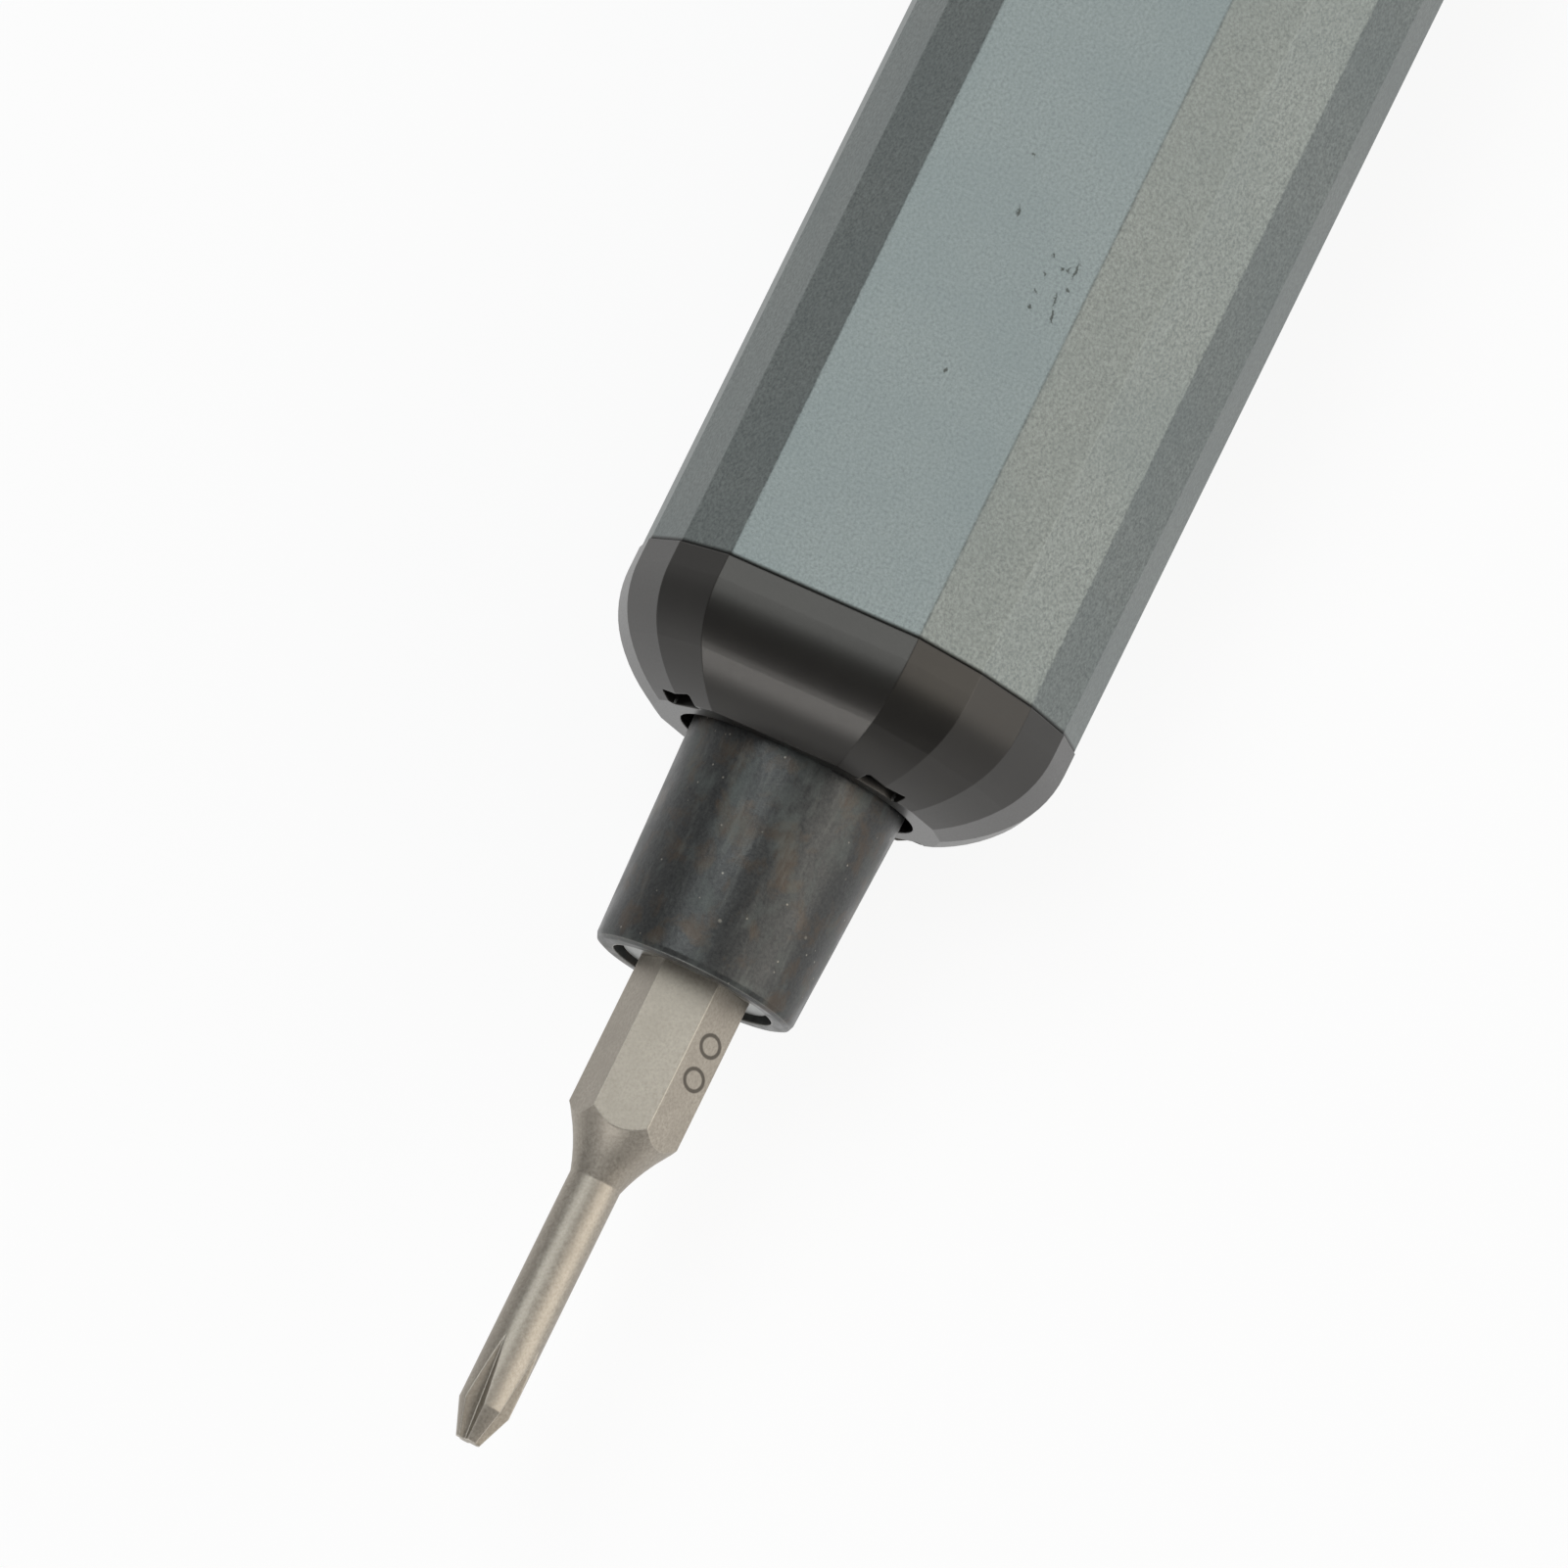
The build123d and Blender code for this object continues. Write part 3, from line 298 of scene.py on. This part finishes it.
def blackened_steel():
    """Blackened steel: bluish oxide with brown mottling, pale specks, soft streaks, and a rim made
    lighter both by wear and by a painted highlight.
    """
    tree = Tree("blackened_steel")
    grain = tree.noise(0.14, detail=3, roughness=0.65)
    cloud = tree.noise(1.1, detail=4, roughness=0.62, place=tree.stretched(1.6))
    brown = tree.noise(1.5, detail=4, roughness=0.6, distortion=0.4)
    streak = tree.noise(0.5, detail=3, roughness=0.6, place=tree.stretched(5.0))
    base = tree.mix(tree.span(grain, 0.25, 0.75), rgb(44, 45, 46), rgb(68, 69, 68))
    base = tree.mix(tree.span(brown, 0.5, 0.62, 0, 0.7), base, rgb(72, 62, 52))
    base = tree.mix(tree.span(cloud, 0.5, 0.68, 0, 0.45), base, rgb(92, 98, 95))
    base = tree.mix(tree.span(streak, 0.56, 0.7, 0, 0.25), base, rgb(104, 106, 102))
    specks = tree.specks(0.42, 0.055, 0.3)
    base = tree.mix(tree.math("MULTIPLY", specks, 0.6), base, rgb(158, 154, 144))
    dust = tree.specks(1.3, 0.1, 0.22)
    base = tree.mix(tree.math("MULTIPLY", dust, 0.5), base, rgb(150, 146, 136))
    # Lighter rim: wear through the oxide, and a painted highlight where the rounded rim catches the
    # light
    wear_and_highlight = tree.math("MULTIPLY", tree.edges(0.14), tree.span(cloud, 0.3, 0.55, 0.55, 1.0))
    base = tree.mix(tree.math("MULTIPLY", wear_and_highlight, 0.8), base, rgb(150, 150, 144))
    tree.shade(
        base_color=base,
        metallic=0.5,
        roughness=tree.span(cloud, 0.35, 0.65, 0.30, 0.48),
        normal=tree.bump(grain, 0.016, tree.rounded(0.1), 0.5),
    )
    return tree.material


# The plain number on one face of the bit's hexagon: two noughts, in millimetres and degrees;
# the line's own three sizes are shares of the nought's
nought_places = (62.60, 64.05)
nought_half_width = 0.50
nought_half_height = 0.76
number_aside = 0.12
number_face_turn = 67.5
number_face_reach = 2.0
number_depth = 0.3
nought_line_middle = 0.84
nought_line_full = 0.10
nought_line_fades = 0.19


def number_mask(tree):
    """Where the number is: a ring for each nought, kept to the one face."""
    turn = math.radians(number_face_turn)
    across = number_face_reach * math.sin(turn) + number_aside * math.cos(turn)
    above = number_face_reach * math.cos(turn) - number_aside * math.sin(turn)
    mask = 0.0
    for x in nought_places:
        inside = tree.node(
            "ShaderNodeMapping",
            {
                "Vector": tree.place,
                "Location": (x * MM, across * MM, axis_z + above * MM),
                "Rotation": (-turn, 0, 0),
                "Scale": (nought_half_width * MM, nought_half_height * MM, number_depth * MM),
            },
            vector_type="TEXTURE",
        )
        inputs = {0: inside.outputs[0]}
        reach = tree.node("ShaderNodeVectorMath", inputs, operation="LENGTH").outputs["Value"]
        off_line = tree.math("ABSOLUTE", tree.math("SUBTRACT", reach, nought_line_middle))
        mask = tree.math("MAXIMUM", mask, tree.span(off_line, nought_line_fades, nought_line_full))
    return mask


def bare_metal(name, dark, light, size, roughness, wear_and_highlight=None, edge=0.06, cut=None):
    """Bare metal, cut or blasted: two close colours in a fine grain, brighter at the edges for wear
    and as a painted highlight.
    """
    tree = Tree(name)
    grain = tree.noise(size, detail=3, roughness=0.6)
    cloud = tree.noise(12 * size, detail=2)
    base = tree.mix(tree.span(grain, 0.3, 0.7), rgb(*dark), rgb(*light))
    base = tree.mix(tree.span(cloud, 0.4, 0.7, 0, 0.35), base, rgb(*dark))
    # Lighter edges: wear, and a painted highlight along them
    if wear_and_highlight:
        base = tree.mix(tree.math("MULTIPLY", tree.edges(edge), 0.7), base, rgb(*wear_and_highlight))
    if cut:
        base = tree.mix(tree.math("MULTIPLY", cut(tree), 0.75), base, rgb(52, 46, 40))
    tree.shade(
        base_color=base,
        metallic=1.0,
        roughness=tree.span(grain, 0.2, 0.8, roughness - 0.06, roughness + 0.06),
        normal=tree.bump(grain, 0.01, tree.rounded(edge), 0.5),
    )
    return tree.material


def moulded(name, dark, light, roughness, size=0.15, edge=0.12, specular=0.5):
    """Moulded plastic, rubber or lacquer: a fine texture and faint clouds."""
    tree = Tree(name)
    grain = tree.noise(size, detail=2)
    cloud = tree.noise(20 * size, detail=2)
    tree.shade(
        base_color=tree.mix(tree.span(cloud, 0.3, 0.7), rgb(*dark), rgb(*light)),
        roughness=tree.span(grain, 0.2, 0.8, roughness - 0.07, roughness + 0.07),
        specular_ior_level=specular,
        normal=tree.bump(grain, 0.01, tree.rounded(edge), 0.5),
    )
    return tree.material


def smoked_clear():
    """Smoked plastic over unlit lamps: nearly black, with a faint haze."""
    tree = Tree("smoked_clear")
    haze = tree.noise(0.4, detail=3)
    tree.shade(
        base_color=tree.mix(tree.span(haze, 0.3, 0.7), rgb(5, 5, 6), rgb(12, 12, 13)),
        roughness=tree.span(haze, 0.3, 0.7, 0.12, 0.24),
        specular_ior_level=0.25,
    )
    return tree.material


def board():
    """A green circuit board: paler copper tracks under its lacquer, and small round pads."""
    track_spacing = 4.5
    track_width = 0.035
    tree = Tree("board")
    cloud = tree.noise(2.0, detail=2)
    tracks = tree.node(
        "ShaderNodeTexBrick",
        {
            "Vector": tree.place,
            "Color1": (0, 0, 0, 1),
            "Color2": (0, 0, 0, 1),
            "Mortar": (1, 1, 1, 1),
            "Scale": 1 / (track_spacing * MM),
            "Mortar Size": track_width,
        },
    ).outputs["Color"]
    pads = tree.specks(1.6, 0.3, 0.4)
    base = tree.mix(tree.span(cloud, 0.3, 0.7), rgb(14, 58, 34), rgb(22, 74, 44))
    base = tree.mix(tree.math("MULTIPLY", tracks, 0.8), base, rgb(52, 112, 66))
    base = tree.mix(tree.math("MULTIPLY", pads, 0.9), base, rgb(196, 170, 96))
    tree.shade(
        base_color=base,
        roughness=tree.span(cloud, 0.3, 0.7, 0.28, 0.4),
        normal=tree.rounded(0.08),
    )
    return tree.material


looks = {
    "anodised": anodised(),
    "black_moulding": black_moulding(),
    "smoked_clear": smoked_clear(),
    "blackened_steel": blackened_steel(),
    "bright_steel": bare_metal(
        "bright_steel", (120, 122, 120), (165, 167, 164), 0.12, 0.32, wear_and_highlight=(210, 210, 205)
    ),
    "bit_steel": bare_metal(
        "bit_steel",
        (150, 143, 133),
        (178, 171, 160),
        0.12,
        0.5,
        wear_and_highlight=(222, 216, 205),
        edge=0.09,
        cut=number_mask,
    ),
    "magnet": bare_metal("magnet", (150, 148, 140), (178, 176, 168), 0.3, 0.22),
    "gear_steel": bare_metal(
        "gear_steel", (110, 108, 103), (150, 148, 142), 0.2, 0.36, wear_and_highlight=(205, 203, 196)
    ),
    "bronze": bare_metal("bronze", (140, 96, 52), (180, 130, 76), 0.12, 0.42),
    "copper": bare_metal("copper", (150, 70, 36), (206, 112, 66), 0.1, 0.28),
    "grey_plastic": moulded("grey_plastic", (88, 90, 92), (104, 106, 108), 0.5),
    "board": board(),
    "lamp": moulded("lamp", (226, 222, 190), (240, 236, 210), 0.3),
    "cell_sleeve": moulded("cell_sleeve", (24, 70, 122), (34, 84, 140), 0.28, size=0.6),
    "nickel": bare_metal("nickel", (170, 166, 154), (198, 194, 182), 0.15, 0.28),
    "foam": moulded("foam", (56, 56, 58), (78, 78, 80), 0.9, size=0.25, specular=0.2),
    "button_black": moulded("button_black", (28, 29, 30), (40, 41, 42), 0.42),
    "chip_black": moulded("chip_black", (22, 22, 23), (34, 34, 35), 0.55),
}
for piece in nodes.values():
    for slot in piece.material_slots:
        slot.material = looks[slot.material.name.split(".")[0]]


def floor():
    """A pale floor just under the tool: it keeps the shadow, and is white to camera and gloss."""
    side = 3.0
    below = -0.02 * MM
    white_share = 0.9
    mesh = bpy.data.meshes.new("floor")
    corners = [(-side, -side, below), (side, -side, below), (side, side, below), (-side, side, below)]
    mesh.from_pydata(corners, [], [(0, 1, 2, 3)])
    holder = bpy.data.objects.new("floor", mesh)
    bpy.context.scene.collection.objects.link(holder)
    tree = Tree("floor")
    tree.shade(base_color=(0.85, 0.85, 0.85, 1), roughness=0.9)
    path = tree.node("ShaderNodeLightPath").outputs
    seen = tree.math("MAXIMUM", path["Is Camera Ray"], path["Is Glossy Ray"])
    seen = tree.math("MAXIMUM", seen, path["Is Transmission Ray"])
    share = tree.math("MULTIPLY", seen, white_share)
    glow = tree.node("ShaderNodeEmission")
    inputs = {0: share, 1: tree.shader.outputs["BSDF"], 2: glow.outputs[0]}
    mix = tree.node("ShaderNodeMixShader", inputs)
    tree.put(tree.output.inputs["Surface"], mix.outputs[0])
    mesh.materials.append(tree.material)


# Each soft box: name, place and size in metres, radiance, tint
soft_boxes = [
    ("overhead", (-0.18, -0.22, 0.85), (0.48, 0.62), 3.4, (0.95, 1.0, 1.01)),
    ("side_low", (-0.20, 0.80, 0.14), (0.9, 0.28), 3.2, (1.05, 1.0, 0.92)),
    ("side_high", (-0.20, 0.72, 0.50), (0.9, 0.36), 2.1, (1.05, 1.0, 0.92)),
    ("between", (-0.30, 0.42, 0.78), (0.7, 0.26), 1.1, (1.02, 1.0, 0.97)),
    ("front", (0.87, -0.10, 0.36), (0.5, 0.3), 5.0, (1, 1, 1)),
    ("fill", (-0.45, -0.90, 0.25), (1.0, 0.45), 0.5, (1, 1, 1)),
]


def lamp(name, place, size, radiance, tint):
    """A soft box that faces the nose, size in metres along and up."""
    data = bpy.data.lights.new(name, "AREA")
    data.shape = "RECTANGLE"
    data.size, data.size_y = size
    data.energy = radiance * math.pi * size[0] * size[1]
    data.color = tint
    holder = bpy.data.objects.new(name, data)
    target = Vector((nose_face_x, 0, axis_z))
    away = (Vector(place) - target).normalized()
    holder.matrix_world = Matrix.Translation(place) @ away.to_track_quat("Z", "Y").to_matrix().to_4x4()
    holder.visible_camera = False
    bpy.context.scene.collection.objects.link(holder)


def world():
    """Even, weak white light from all round."""
    strength = 0.25
    made = bpy.data.worlds.new("studio")
    bpy.context.scene.world = made
    made.use_nodes = True
    made.node_tree.nodes["Background"].inputs["Color"].default_value = (1, 1, 1, 1)
    made.node_tree.nodes["Background"].inputs["Strength"].default_value = strength


bpy.context.scene.view_settings.view_transform = "Standard"
set_camera()
floor()
world()
for name, place, size, radiance, tint in soft_boxes:
    lamp(name, place, size, radiance, tint)
